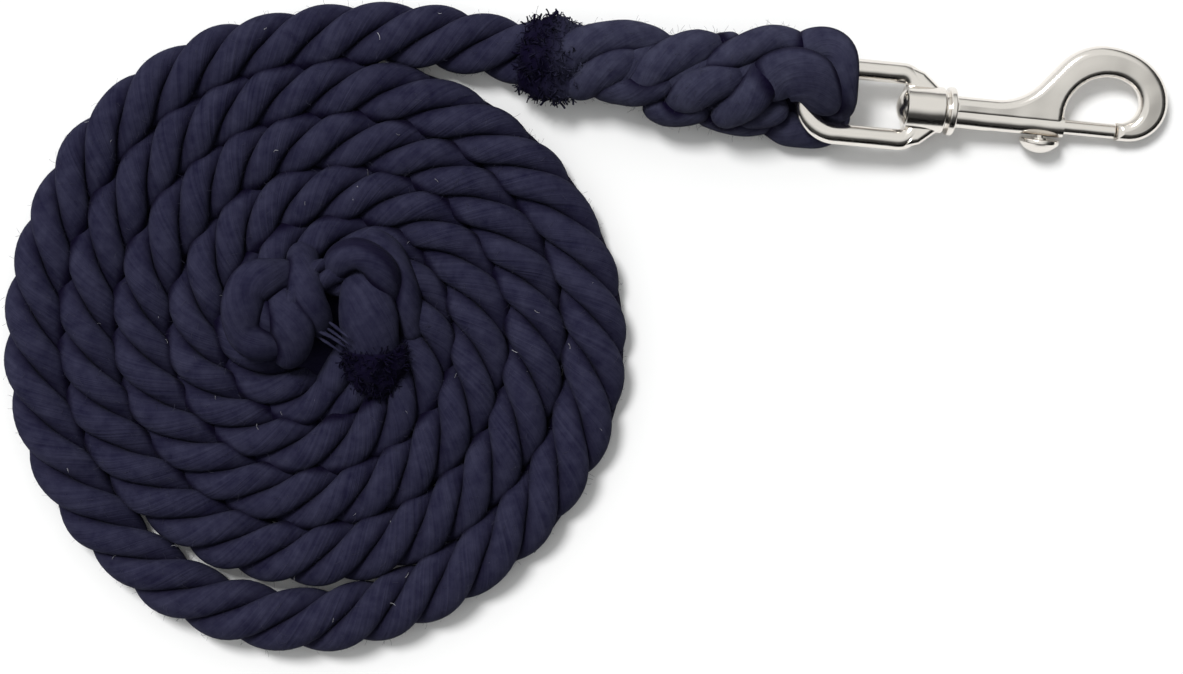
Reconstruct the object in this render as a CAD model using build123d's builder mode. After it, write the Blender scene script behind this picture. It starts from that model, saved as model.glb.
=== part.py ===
from build123d import *

import os
from math import asin, cos, degrees, radians, sin, sqrt, tan

# Lead rope: a three-strand cotton rope coiled flat, with a back splice and crown knot at its free end in the
# middle of the coil, and a swivel bolt snap in an eye splice at its other end.
# Millimetres, +Z up. It lies on the plane z = 0, with the origin on that plane under the middle of the snap.

# ---------------------------------------------------------------- rope and coil
ROPE = 18.0  # diameter of the laid rope
SOFT_GAP = 0.3  # between soft rope and what it lies beside
COIL_CENTRE = (-233.2, -79.8)
COIL_RADIUS = 109.2  # outer edge of the coil where the rope leaves it
COIL_EDGE = (  # angle from the top, the way that the rope winds in, and how far the edge stands out there
    (0, 0),
    (60, 0),
    (120, 0.8),
    (172, 6.3),
    (215, 1.3),
    (270, -1.2),
    (315, -9.7),
    (340, -15.4),
    (360, -19.6),
)
COIL_SOFTNESS = 8.0  # rounding of the coil's edges
HEART_PLACE = (8.0, -1.0)  # middle of the coil's open heart, from the coil's centre
HEART_RADIUS = 28.0

# ---------------------------------------------------------------- lead-out, from the coil to the splice
LEAD_POINTS = ((-205.6, 0.0), (-180.6, -2.2))  # x, and how far the rope drifts from where it leaves the coil
SPLICE_START = (-159.6, 16.2)

# ---------------------------------------------------------------- eye splice
SPLICE_YAW = 8.0  # degrees that the splice heads below +X, seen from above
SPLICE_SECTIONS = (  # distance along the splice, sideways drift, half width, half height
    (20.0, 0.0, 11.5, 10.6),
    (44.0, 0.5, 14.8, 13.6),
    (68.0, 0.8, 15.9, 15.0),
)
SPLICE_TUFT = (8.5, 15.8, 11.6)  # the fattest place of the frayed ends: along, half width, half height
SPLICE_FRONT = (17.2, 16.3)  # half width and half height of the splice where the eye leaves it
SPLICE_DRIFT = 3.0  # how far the splice's front lies to the left of the snap's line
SPLICE_TO_BAR = 2.6  # from the splice's front to the far bar

# ---------------------------------------------------------------- where the snap lies
BAR_PLACE = (-62.2, 0.15, 16.72)  # middle of the swivel eye's far bar
SNAP_YAW = 5.0  # degrees that the snap heads below +X, seen from above
SNAP_PITCH = 5.7  # degrees that it slopes down towards the hook
SNAP_ROLL = 10.0  # degrees that the body is turned on its swivel, knob side down

# ---------------------------------------------------------------- swivel eye
EYE_BAR = 3.7  # radius of the round bar
EYE_HALF_WIDTH = 11.6  # from the swivel axis to the bars' centrelines
EYE_LENGTH = 50.3  # from the snap's collar to the far bar's centreline
EYE_BASE = 11.2  # from the collar to the near bar's centreline
EYE_CORNER = 5.5  # corner radius of the near bar's centreline
BOSS_RADIUS = 8.2
BOSS_END = 1.3  # from the collar to the boss
BOSS_ROUNDING = 0.8
SHOULDER = ((-15.0, 14.6), (-9.0, 12.6), (-3.4, 8.0))  # slope from the bars down to the boss
SHOULDER_ROUNDING = 2.4

# ---------------------------------------------------------------- swivel rivet
RIVET = 3.0  # radius of the post
RIVET_CLEARANCE = 0.08  # running fit of the post in the eye
RIVET_HEAD = 6.0
RIVET_DOME = 2.7
RIVET_SEAT_GAP = 0.15
RIVET_DEPTH = 4.6  # length of the post that is fast in the body

# ---------------------------------------------------------------- snap body
COLLAR_RADIUS = 8.5
COLLAR = 2.4
COLLAR_ROUNDING = 0.6
NECK_RADIUS = 6.5  # short neck between the collar and the boss
NECK = 1.0
SHANK_HALF = 5.6  # half width of the shank
BARREL = 4.0  # outer radius of the barrel
BARREL_END = 41.6  # from the collar's face
BORE_START = 6.8
BOLT_DROP = 1.6  # from the swivel axis to the bore's axis
WEB_HALF = 3.6  # half thickness of the web and hook
HOOK_ROUNDING = 2.8
FLARE_START = 17.0  # where the shank begins to widen
FLARE_RADIUS = 20.0
FLARE_ANGLE = 52.0
CROWN = (54.0, 27.9)  # top of the hook
CROWN_RADIUS = 20.0
NOSE = (77.9, 8.8)  # the hook's foremost point
NOSE_RADIUS = 13.4
TIP = 60.6  # face of the hook's tip
THROAT_CROWN = (56.5, 17.2)  # top of the hook's opening
THROAT_NOSE = (68.0, 8.0)  # its foremost point
THROAT_FLOOR = 1.6  # inner side of the tip
THROAT_BACK = 3.0  # where the opening's back wall becomes straight

# ---------------------------------------------------------------- bolt, knob and spring
BOLT = 2.6  # radius
BOLT_CLEARANCE = 0.08  # running fit in the bore
BOLT_GAP = 0.3  # between the closed bolt and the hook's tip
BOLT_TAIL = 30.0
BOLT_TRAVEL = 18.4
BOLT_CHAMFER = 0.3
STEM = 1.6
STEM_CLEARANCE = 0.3
KNOB_PLACE = 34.1  # from the collar's face, with the bolt closed
KNOB_RADIUS = 7.1
KNOB_GAP = 0.8  # between the barrel and the knob
KNOB_RIM = 1.4
KNOB_ROUNDING = 0.5
KNOB_HEIGHT = 5.2
KNOB_NECK = 3.0
KNOB_SINK = 1.2  # depth of the stem's end in the bolt, past the bolt's axis
WIRE = 0.3  # radius of the spring's wire
SPRING_RADIUS = 2.05
SPRING_TURNS = 7
SPRING_GAP = 0.25  # at each end of the spring

# ---------------------------------------------------------------- back splice and crown knot
END_START = (18.0, -9.0, 12.1)  # from the coil's centre: where the back splice starts
END_NORMAL = (0.26, -0.41, 0.875)  # normal of the sloping plane that the back splice curls in
END_RADIUS = 9.4  # half thickness of the back splice
END_LEG = 20.0
END_CURL = 11.6  # radius of its curl
END_TURN = 135.0  # degrees
END_RUN = 6.0
KNOT_RADIUS = 14.0
TUFT = 9.0  # length of the frayed ends below the back splice
TUFT_RADIUS = 8.2

os.makedirs("parts", exist_ok=True)


def save(piece: BuildPart, name: str):
    """Labels a finished piece and writes it to its own file."""
    piece.part.label = name
    export_step(piece.part, f"parts/{name}.step")


def heading(degrees: float) -> Vector:
    """The level direction that points that far below +X, seen from above."""
    return Vector(cos(radians(degrees)), -sin(radians(degrees)), 0)


def sideways(degrees: float) -> Vector:
    """The level direction to the left of a heading."""
    return Vector(sin(radians(degrees)), cos(radians(degrees)), 0)


# The snap's own axes: x along the swivel axis to the hook, from the collar's face, y to the hook's side.
# The swivel eye lies flat in them, and the body's axes are the same ones turned about x.
bar_location = Location(BAR_PLACE) * Rotation(0, 0, -SNAP_YAW) * Rotation(0, SNAP_PITCH, 0)
eye_axes = Plane(bar_location * Location((EYE_LENGTH, 0, 0)))
body_axes = Plane(eye_axes.location * Rotation(SNAP_ROLL, 0, 0))


def dome_radius(rim: float, height: float) -> float:
    """The radius of the sphere whose cap has that rim and height."""
    return (rim**2 + height**2) / (2 * height)


def across(axes: Plane, along: float, drop: float = 0) -> Plane:
    """The plane square to the snap's length, facing the hook, that far from the collar's face."""
    return Plane(axes.from_local_coords((along, -drop, 0)), x_dir=axes.y_dir, z_dir=axes.x_dir)


# ================================================================ the rope
def on_coil(degrees: float, radius: float) -> Vector:
    """A point of the coil, by its angle from the top, turning the way that the rope winds inwards."""
    return Vector(COIL_CENTRE) + Vector(-sin(radians(degrees)), cos(radians(degrees))) * radius


with BuildPart() as rope_coil:
    with BuildSketch():
        with BuildLine():
            edge = Spline([on_coil(angle, COIL_RADIUS + out) for angle, out in COIL_EDGE])
            Line(edge @ 1, edge @ 0)
        make_face()
        with Locations(Vector(COIL_CENTRE) + Vector(HEART_PLACE)):
            Circle(HEART_RADIUS, mode=Mode.SUBTRACT)
    extrude(amount=ROPE)
    fillet(rope_coil.edges().filter_by(GeomType.LINE, reverse=True), COIL_SOFTNESS)
save(rope_coil, "rope_coil")

# The lead-out leaves the coil's end face squarely and drifts down to the splice.
lead_y = COIL_CENTRE[1] + COIL_RADIUS - ROPE / 2
lead_route = [Vector(COIL_CENTRE[0], lead_y, ROPE / 2)]
lead_route += [Vector(x, lead_y + drift, ROPE / 2) for x, drift in LEAD_POINTS]
lead_route += [Vector(*SPLICE_START, ROPE / 2)]


def corner_radii(route: list) -> list:
    """The arc at each corner of a route: 0.45 of its shorter run, over the tangent of half its turn."""
    runs = [end - start for start, end in zip(route, route[1:])]
    pairs = list(zip(runs, runs[1:]))
    return [0.45 * min(a.length, b.length) / tan(radians(a.get_angle(b) / 2)) for a, b in pairs]


lead_radii = corner_radii(lead_route)
with BuildPart() as lead_rope:
    with BuildLine() as lead_path:
        FilletPolyline(*lead_route, radius=lead_radii)
    with BuildSketch(Plane(lead_path.line @ 0, z_dir=lead_path.line % 0)):
        Circle(ROPE / 2)
    sweep()
save(lead_rope, "lead_rope")
lead_length = lead_path.wire().length
print("lead-out radii", [round(r) for r in lead_radii], "length", round(lead_length, 1))
section_area = lead_rope.faces().sort_by(Axis.X)[0].area
print("volume over section times length", round(lead_rope.part.volume / (section_area * lead_length), 4))


# The frayed ends, the splice's body and the eye follow one another face to face.
def splice_plane(along: float, drift: float, half_height: float) -> Plane:
    """The plane square to the splice, that far along it, with a section of that half height on the ground."""
    centre = Vector(*SPLICE_START) + heading(SPLICE_YAW) * along + sideways(SPLICE_YAW) * drift
    centre += Vector(0, 0, half_height + SOFT_GAP)
    return Plane(centre, x_dir=sideways(SPLICE_YAW), z_dir=heading(SPLICE_YAW))


first_along, first_drift, first_width, first_height = SPLICE_SECTIONS[0]
with BuildPart() as splice_tuft:
    with BuildSketch(Plane(lead_path.line @ 1, x_dir=sideways(SPLICE_YAW), z_dir=lead_path.line % 1)):
        Circle(ROPE / 2)
    with BuildSketch(splice_plane(SPLICE_TUFT[0], 0, SPLICE_TUFT[2])):
        Ellipse(SPLICE_TUFT[1], SPLICE_TUFT[2])
    with BuildSketch(splice_plane(first_along, first_drift, first_height)):
        Ellipse(first_width, first_height)
    loft()
save(splice_tuft, "splice_tuft")

# The eye is a loop of flattened rope round the far bar, in an upright plane along the snap.
eye_thickness = BAR_PLACE[2] - EYE_BAR - 2 * SOFT_GAP - SOFT_GAP
eye_half_width = EYE_HALF_WIDTH - EYE_BAR - 3 * SOFT_GAP
eye_radius = EYE_BAR + 2 * SOFT_GAP + eye_thickness / 2
loop_plane = Plane(BAR_PLACE, x_dir=heading(SNAP_YAW), z_dir=-sideways(SNAP_YAW))
leg_end = EYE_BAR + SPLICE_TO_BAR
with BuildPart() as rope_eye:
    with BuildLine(loop_plane) as loop_path:
        over_leg = Line((-leg_end, eye_radius), (0, eye_radius))
        CenterArc((0, 0), eye_radius, 90, -180)
        Line((0, -eye_radius), (-leg_end, -eye_radius))
    with BuildSketch(Plane(over_leg @ 0, x_dir=sideways(SNAP_YAW), z_dir=heading(SNAP_YAW))):
        Ellipse(eye_half_width, eye_thickness / 2)
    sweep()
save(rope_eye, "rope_eye")

with BuildPart() as eye_splice:
    for along, drift, half_width, half_height in SPLICE_SECTIONS:
        with BuildSketch(splice_plane(along, drift, half_height)):
            Ellipse(half_width, half_height)
    front_middle = Vector(BAR_PLACE) - heading(SNAP_YAW) * leg_end
    front_middle += sideways(SNAP_YAW) * SPLICE_DRIFT
    with BuildSketch(Plane(front_middle, x_dir=sideways(SNAP_YAW), z_dir=heading(SNAP_YAW))):
        Ellipse(*SPLICE_FRONT)
    loft()
save(eye_splice, "eye_splice")

# The free end curls up in a sloping plane, out of the coil's heart. Its crown knot lies over the inmost turn.
end_normal = Vector(*END_NORMAL).normalized()
leg_direction = end_normal.cross(Vector(1, 0, 0)).normalized()
end_origin = Vector(*COIL_CENTRE) + Vector(*END_START)
end_plane = Plane(end_origin, x_dir=leg_direction.cross(end_normal), z_dir=end_normal)
with BuildPart() as back_splice:
    with BuildLine(end_plane) as end_path:
        Line((0, 0), (0, END_LEG))
        curl = CenterArc((-END_CURL, END_LEG), END_CURL, 0, END_TURN)
        run = Line(curl @ 1, curl @ 1 + curl % 1 * END_RUN)
    with BuildSketch(Plane(end_origin, z_dir=leg_direction)):
        Circle(END_RADIUS)
    sweep()
save(back_splice, "back_splice")

knot_middle = sqrt(KNOT_RADIUS**2 - END_RADIUS**2)
knot_span = 180 - degrees(asin(END_RADIUS / KNOT_RADIUS))
with BuildPart() as crown_knot:
    with BuildSketch(Plane(run @ 1, x_dir=run % 1, z_dir=end_normal)):
        with BuildLine():
            round_side = CenterArc((knot_middle, 0), KNOT_RADIUS, 0, knot_span)
            Polyline(round_side @ 1, (0, 0), round_side @ 0)
        make_face()
    revolve(axis=Axis(run @ 1, run % 1))
save(crown_knot, "crown_knot")

with BuildPart() as end_tuft:
    with BuildSketch(Plane(end_origin, z_dir=-leg_direction)):
        Circle(TUFT_RADIUS)
    extrude(amount=TUFT)
save(end_tuft, "end_tuft")

# ================================================================ the snap
# The eye is a closed loop of round bar, with shoulders that slope to the boss, bored for the rivet.
corner = EYE_BASE + EYE_CORNER
with BuildPart() as swivel_eye:
    with BuildSketch(eye_axes.offset(-EYE_BAR)):
        with BuildLine():
            shoulder = Polyline((-EYE_BASE, 0), *SHOULDER, (-BOSS_END - BOSS_ROUNDING, 0))
            mirror(about=Plane.XZ)
        make_face()
    extrude(amount=2 * EYE_BAR)
    rims = swivel_eye.faces().filter_by(GeomType.PLANE).group_by(Axis(eye_axes.origin, eye_axes.z_dir))
    fillet(rims[0].edges() + rims[-1].edges(), SHOULDER_ROUNDING)
    with BuildLine(eye_axes) as eye_path:
        far = EYE_LENGTH - EYE_HALF_WIDTH
        CenterArc((-far, 0), EYE_HALF_WIDTH, 90, 180)
        Line((-far, -EYE_HALF_WIDTH), (-corner, -EYE_HALF_WIDTH))
        CenterArc((-corner, EYE_CORNER - EYE_HALF_WIDTH), EYE_CORNER, 270, 90)
        Line((-EYE_BASE, EYE_CORNER - EYE_HALF_WIDTH), (-EYE_BASE, EYE_HALF_WIDTH - EYE_CORNER))
        CenterArc((-corner, EYE_HALF_WIDTH - EYE_CORNER), EYE_CORNER, 0, 90)
        upper = Line((-corner, EYE_HALF_WIDTH), (-far, EYE_HALF_WIDTH))
    with BuildSketch(Plane(upper @ 0, z_dir=upper % 0)):
        Circle(EYE_BAR)
    sweep()
    with BuildSketch(across(eye_axes, -EYE_BASE - EYE_BAR)):
        Circle(BOSS_RADIUS)
    extrude(amount=EYE_BASE + EYE_BAR - BOSS_END)
    flats = swivel_eye.faces().filter_by(GeomType.PLANE)
    fillet(flats.sort_by(Axis(eye_axes.origin, eye_axes.x_dir))[-1].edges(), BOSS_ROUNDING)
    with BuildSketch(across(eye_axes, -EYE_LENGTH / 2)):
        Circle(RIVET + RIVET_CLEARANCE)
    extrude(amount=EYE_LENGTH / 2, mode=Mode.SUBTRACT)
save(swivel_eye, "swivel_eye")

with BuildPart() as swivel_rivet:
    head_seat = -EYE_BASE - EYE_BAR - RIVET_SEAT_GAP
    with BuildSketch(across(eye_axes, head_seat)):
        Circle(RIVET)
    extrude(amount=RIVET_DEPTH - head_seat)
    with BuildSketch(eye_axes):
        with BuildLine():
            dome_top = (head_seat - RIVET_DOME, 0)
            Polyline(dome_top, (head_seat, 0), (head_seat, RIVET_HEAD))
            RadiusArc((head_seat, RIVET_HEAD), dome_top, -dome_radius(RIVET_HEAD, RIVET_DOME))
        make_face()
    revolve(axis=Axis(eye_axes.origin, eye_axes.x_dir))
save(swivel_rivet, "swivel_rivet")

# The knob's axis points out of the barrel on the side away from the hook. Its planes start inside the bolt.
knob_start = body_axes.from_local_coords((KNOB_PLACE, KNOB_SINK - BOLT_DROP, 0))
knob_plane = Plane(knob_start, x_dir=body_axes.x_dir, z_dir=-body_axes.y_dir)
knob_section = Plane(knob_start, x_dir=body_axes.x_dir, z_dir=-body_axes.z_dir)
knob_face = KNOB_SINK + BARREL + KNOB_GAP

# The body is one casting: a flat web and hook with rounded edges, the barrel, the collar and the neck.
with BuildPart() as snap_body:
    with BuildSketch(body_axes.offset(-WEB_HALF)):
        with BuildLine():
            flare = CenterArc((FLARE_START, SHANK_HALF + FLARE_RADIUS), FLARE_RADIUS, 270, FLARE_ANGLE)
            back = CenterArc((CROWN[0], CROWN[1] - CROWN_RADIUS), CROWN_RADIUS, 90, FLARE_ANGLE)
            Line(flare @ 1, back @ 1)
            EllipticalCenterArc(
                (CROWN[0], NOSE[1]), NOSE[0] - CROWN[0], CROWN[1] - NOSE[1], start_angle=0, arc_size=90
            )
            chin = CenterArc((NOSE[0] - NOSE_RADIUS, NOSE[1]), NOSE_RADIUS, 270, 90)
            Line(chin @ 0, (TIP, NOSE[1] - NOSE_RADIUS))
            Line((TIP, NOSE[1] - NOSE_RADIUS), (TIP, THROAT_FLOOR))
            lip = THROAT_NOSE[1] - THROAT_FLOOR
            cheek = CenterArc((THROAT_NOSE[0] - lip, THROAT_NOSE[1]), lip, 270, 90)
            Line((TIP, THROAT_FLOOR), cheek @ 0)
            EllipticalCenterArc(
                (THROAT_CROWN[0], THROAT_NOSE[1]),
                THROAT_NOSE[0] - THROAT_CROWN[0],
                THROAT_CROWN[1] - THROAT_NOSE[1],
                start_angle=0,
                arc_size=90,
            )
            EllipticalCenterArc(
                (THROAT_CROWN[0], THROAT_BACK),
                THROAT_CROWN[0] - BARREL_END,
                THROAT_CROWN[1] - THROAT_BACK,
                start_angle=90,
                arc_size=90,
            )
            Polyline(
                (BARREL_END, THROAT_BACK),
                (BARREL_END, -BOLT_DROP),
                (COLLAR / 2, -BOLT_DROP),
                (COLLAR / 2, SHANK_HALF),
                (FLARE_START, SHANK_HALF),
            )
        make_face()
    extrude(amount=2 * WEB_HALF)
    rims = snap_body.faces().filter_by(GeomType.PLANE).group_by(Axis(body_axes.origin, body_axes.z_dir))
    fillet(rims[0].edges() + rims[-1].edges(), HOOK_ROUNDING)
    with BuildSketch(across(body_axes, COLLAR / 2, BOLT_DROP)):
        Circle(BARREL)
    extrude(amount=BARREL_END - COLLAR / 2)
    with BuildSketch(across(body_axes, -NECK)):
        Circle(NECK_RADIUS)
    extrude(amount=NECK)
    with BuildSketch(across(body_axes, 0)):
        Circle(COLLAR_RADIUS)
    extrude(amount=COLLAR)
    rings = snap_body.edges().filter_by(GeomType.CIRCLE)
    fillet(rings.filter_by(lambda ring: ring.radius == COLLAR_RADIUS), COLLAR_ROUNDING)
    with BuildSketch(across(body_axes, BORE_START, BOLT_DROP)):
        Circle(BOLT + BOLT_CLEARANCE)
    extrude(amount=BARREL_END - BORE_START, mode=Mode.SUBTRACT)
    with BuildSketch(knob_plane.offset(KNOB_SINK)):
        with Locations((-BOLT_TRAVEL / 2, 0)):
            SlotCenterToCenter(BOLT_TRAVEL, 2 * (STEM + STEM_CLEARANCE))
    extrude(amount=2 * BARREL, mode=Mode.SUBTRACT)
    with BuildSketch(across(body_axes, -NECK)):
        Circle(RIVET)
    extrude(amount=NECK + RIVET_DEPTH, mode=Mode.SUBTRACT)
save(snap_body, "snap_body")

with BuildPart() as snap_bolt:
    with BuildSketch(across(body_axes, BOLT_TAIL, BOLT_DROP)):
        Circle(BOLT)
    extrude(amount=TIP - BOLT_GAP - BOLT_TAIL)
    chamfer(snap_bolt.faces().sort_by(Axis(body_axes.origin, body_axes.x_dir))[-1].edges(), BOLT_CHAMFER)
    with BuildSketch(knob_plane):
        Circle(STEM)
    extrude(amount=2 * BOLT, mode=Mode.SUBTRACT)
save(snap_bolt, "snap_bolt")

# The knob is turned about its stem: a stem through the slot, a neck and a domed head.
with BuildPart() as thumb_knob:
    with BuildSketch(knob_section) as knob_profile:
        with BuildLine():
            Polyline(
                (0, knob_face + KNOB_HEIGHT),
                (0, 0),
                (STEM, 0),
                (STEM, knob_face - KNOB_GAP / 2),
                (KNOB_NECK, knob_face - KNOB_GAP / 2),
                (KNOB_NECK, knob_face),
                (KNOB_RADIUS, knob_face),
                (KNOB_RADIUS, knob_face + KNOB_RIM),
            )
            RadiusArc(
                (KNOB_RADIUS, knob_face + KNOB_RIM),
                (0, knob_face + KNOB_HEIGHT),
                -dome_radius(KNOB_RADIUS, KNOB_HEIGHT - KNOB_RIM),
            )
        make_face()
        fillet(knob_profile.vertices().group_by(Axis.X)[-1], KNOB_ROUNDING)
    revolve(axis=Axis(knob_section.origin, knob_section.y_dir))
save(thumb_knob, "thumb_knob")

spring_start = BORE_START + SPRING_GAP + WIRE
spring_length = BOLT_TAIL - SPRING_GAP - WIRE - spring_start
with BuildPart() as bolt_spring:
    with BuildLine() as coil:
        Helix(
            pitch=spring_length / SPRING_TURNS,
            height=spring_length,
            radius=SPRING_RADIUS,
            center=body_axes.from_local_coords((spring_start, -BOLT_DROP, 0)),
            direction=body_axes.x_dir,
        )
    with BuildSketch(Plane(coil.line @ 0, z_dir=coil.line % 0)):
        Circle(WIRE)
    sweep()
save(bolt_spring, "bolt_spring")
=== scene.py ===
# %% [markdown]
# A cotton lead rope for leading a horse, coiled flat. One end is a thick eye splice round the swivel of a
# nickel-plated bolt snap. The other end lies in the heart of the coil and finishes in a back splice with a
# crown knot. The metal pieces come ready from the CAD frame. Everything made of cotton is modelled here,
# and each cotton piece stands for the plain solid that holds its place in the frame.

import math

import bmesh
import bpy
import numpy as np
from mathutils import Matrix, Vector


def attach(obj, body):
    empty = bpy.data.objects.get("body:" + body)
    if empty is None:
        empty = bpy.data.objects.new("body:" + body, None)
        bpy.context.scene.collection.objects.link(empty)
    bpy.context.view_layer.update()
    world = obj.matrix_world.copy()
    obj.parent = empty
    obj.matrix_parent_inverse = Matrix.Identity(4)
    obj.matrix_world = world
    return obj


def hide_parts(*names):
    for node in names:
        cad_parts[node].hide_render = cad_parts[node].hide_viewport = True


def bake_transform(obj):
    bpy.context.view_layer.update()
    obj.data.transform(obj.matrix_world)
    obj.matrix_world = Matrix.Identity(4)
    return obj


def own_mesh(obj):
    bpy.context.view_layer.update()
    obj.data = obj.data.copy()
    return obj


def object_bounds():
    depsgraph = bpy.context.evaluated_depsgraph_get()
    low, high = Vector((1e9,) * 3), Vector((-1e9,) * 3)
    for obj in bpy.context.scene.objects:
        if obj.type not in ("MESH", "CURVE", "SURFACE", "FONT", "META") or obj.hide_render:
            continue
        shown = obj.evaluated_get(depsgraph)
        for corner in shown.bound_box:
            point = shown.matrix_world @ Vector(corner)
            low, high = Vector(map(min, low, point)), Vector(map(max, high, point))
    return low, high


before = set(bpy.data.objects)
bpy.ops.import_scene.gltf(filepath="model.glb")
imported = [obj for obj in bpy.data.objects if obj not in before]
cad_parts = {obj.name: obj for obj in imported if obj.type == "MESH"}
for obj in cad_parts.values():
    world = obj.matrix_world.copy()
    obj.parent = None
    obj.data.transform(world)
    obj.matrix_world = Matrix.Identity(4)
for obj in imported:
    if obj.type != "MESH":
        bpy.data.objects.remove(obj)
cad_low, cad_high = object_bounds()
rng = np.random.default_rng(7)

# %% [markdown]
# The camera looks straight down with a long lens, as a catalogue picture of a coil of rope is taken. Its
# distance follows from the width of floor that it has to show.

# %% Camera
VIEW_WIDTH = 0.4145  # metres of floor across the picture
VIEW_NUDGE = 0.001  # how far right and down the camera stands from the middle of the part
LENS = 90.0
SENSOR = 36.0
MID_HEIGHT = 0.009  # the rope's middle

scene = bpy.context.scene
camera_data = bpy.data.cameras.new("camera")
camera_data.lens = LENS
camera_data.sensor_width = SENSOR
camera = bpy.data.objects.new("camera", camera_data)
view_middle = (cad_low + cad_high) / 2
camera.location = (
    view_middle.x + VIEW_NUDGE,
    view_middle.y - VIEW_NUDGE,
    MID_HEIGHT + VIEW_WIDTH * LENS / SENSOR,
)
scene.collection.objects.link(camera)
scene.camera = camera
print("camera height", round(camera.location.z, 3))

# %% [markdown]
# A rope lies along one smooth line. Its route is a NURBS spline of a few points: listed where the rope
# runs free, and worked out turn by turn in the coil, where the radius shrinks by one rope each time round.
# The points are metres in the frame, and the lead-out's are those that the CAD part gives it.

# %% The rope's route
COIL_CENTRE = np.array((-0.2332, -0.0798, 0.009))
# Turns from the top, inwards and anticlockwise, and how far the rope's middle is from the coil's there.
COIL_RADII = (
    (0.00, 0.0998), (0.10, 0.0996), (0.15, 0.0980), (0.20, 0.0964),
    (0.25, 0.0974), (0.33, 0.1001), (0.40, 0.1012), (0.46, 0.1044),
    (0.53, 0.1014), (0.60, 0.0978), (0.70, 0.0998), (0.80, 0.0955),
    (0.91, 0.0879), (1.00, 0.0832), (1.12, 0.0797), (1.40, 0.0796),
    (1.70, 0.0785), (1.84, 0.0735), (2.00, 0.0650), (2.12, 0.0612),
    (2.35, 0.0600), (2.75, 0.0582), (2.88, 0.0540), (3.00, 0.0458),
    (3.15, 0.0412), (3.35, 0.0422), (3.70, 0.0400), (3.88, 0.0350),
    (4.00, 0.0285), (4.17, 0.0250), (4.35, 0.0246), (4.52, 0.0256),
)
POINTS_PER_TURN = 16
LAST_TURN = 4.56
# From the snap's far bar through the splice to where the rope joins the coil at its top.
LEAD_ROUTE = (
    (-0.0745, 0.0035, 0.0160), (-0.0920, 0.0062, 0.0150), (-0.1180, 0.0104, 0.0130),
    (-0.1400, 0.0135, 0.0105), (-0.1596, 0.0162, 0.0090), (-0.1806, 0.0205, 0.0090),
    (-0.2056, 0.0234, 0.0090),
)
# From the coil's inmost turn up into the back splice and over to the crown knot.
END_ROUTE = (
    (-0.2140, -0.0990, 0.0100), (-0.2125, -0.0860, 0.0125), (-0.2145, -0.0720, 0.0150),
    (-0.2220, -0.0620, 0.0190), (-0.2320, -0.0620, 0.0240), (-0.2400, -0.0700, 0.0270),
    (-0.2450, -0.0770, 0.0275),
)


def coil_point(turn):
    """A control point of the coil, moved out a little because the spline runs inside its points."""
    radius = np.interp(turn, *zip(*COIL_RADII)) / math.cos(math.pi / POINTS_PER_TURN)
    angle = turn * 2 * math.pi
    return COIL_CENTRE + radius * np.array((-math.sin(angle), math.cos(angle), 0))


coil_route = [coil_point(i / POINTS_PER_TURN) for i in range(int(LAST_TURN * POINTS_PER_TURN) + 1)]
rope_route = [*LEAD_ROUTE, *coil_route, *END_ROUTE]
print("rope's control points", len(rope_route))

# %% [markdown]
# The points that a spline gives are unevenly spaced. The line that everything follows is therefore read
# from it once, as points a set step apart, and the same helper serves the single strands further on.

# %% The rope's line
SPLINE_STEPS = 24  # points read from each of the spline's spans
RING_STEP = 0.0014


def lengths_along(line):
    """How far along the line each of its points is."""
    return np.concatenate(((0,), np.cumsum(np.linalg.norm(np.diff(line, axis=0), axis=1))))


def nurbs_line(points, step):
    """The points of a NURBS spline with those control points, evenly spaced by about that step."""
    curve = bpy.data.curves.new("route", "CURVE")
    curve.dimensions = "3D"
    curve.resolution_u = SPLINE_STEPS
    spline = curve.splines.new("NURBS")
    spline.points.add(len(points) - 1)
    for point, place in zip(spline.points, points):
        point.co = (*place, 1)
    spline.order_u = 3
    spline.use_endpoint_u = True
    route = bpy.data.objects.new("route", curve)
    mesh = bpy.data.meshes.new_from_object(route)
    line = np.array([vertex.co for vertex in mesh.vertices])
    bpy.data.objects.remove(route)
    bpy.data.meshes.remove(mesh)
    along = lengths_along(line)
    places = np.linspace(0, along[-1], max(3, round(along[-1] / step)))
    return np.stack([np.interp(places, along, line[:, axis]) for axis in range(3)], axis=1)


rope_line = nurbs_line(rope_route, RING_STEP)
rope_along = lengths_along(rope_line)
rope_length = float(rope_along[-1])
print("rope's length", round(rope_length, 3))

# %% [markdown]
# Three strands laid left-handed make the rope. Seen end on, they are three ovals that press each other
# flat, so one section with three lobes holds them all, and the section turns as it travels. The creases get
# a row of points of their own, so that they stay sharp.

# %% The rope's section
LOBE_POINTS = 17  # round each lobe


def carried_axes(line):
    """Two axes square to the line at each point, carried along it without twisting."""
    tangents = np.gradient(line, axis=0)
    tangents /= np.linalg.norm(tangents, axis=1)[:, None]
    side = np.cross((0, 0, 1), tangents[0])
    if np.linalg.norm(side) < 0.1:
        side = np.cross((0, 1, 0), tangents[0])
    sides = np.empty_like(line)
    for i, tangent in enumerate(tangents):
        side = side - tangent * side.dot(tangent)
        side /= np.linalg.norm(side)
        sides[i] = side
    return sides, np.cross(tangents, sides)


def rings_round(line, angles, wide, high):
    """Rings of points round a line, at those angles, and that far out to the sides and upwards."""
    sides, ups = carried_axes(line)
    return (
        line[:, None, :]
        + sides[:, None, :] * (np.cos(angles) * wide)[..., None]
        + ups[:, None, :] * (np.sin(angles) * high)[..., None]
    )


WANDER_WAVES = 5
WANDER_REACH = 1.6  # brings the mean of the waves up to a swing of about 1


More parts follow.
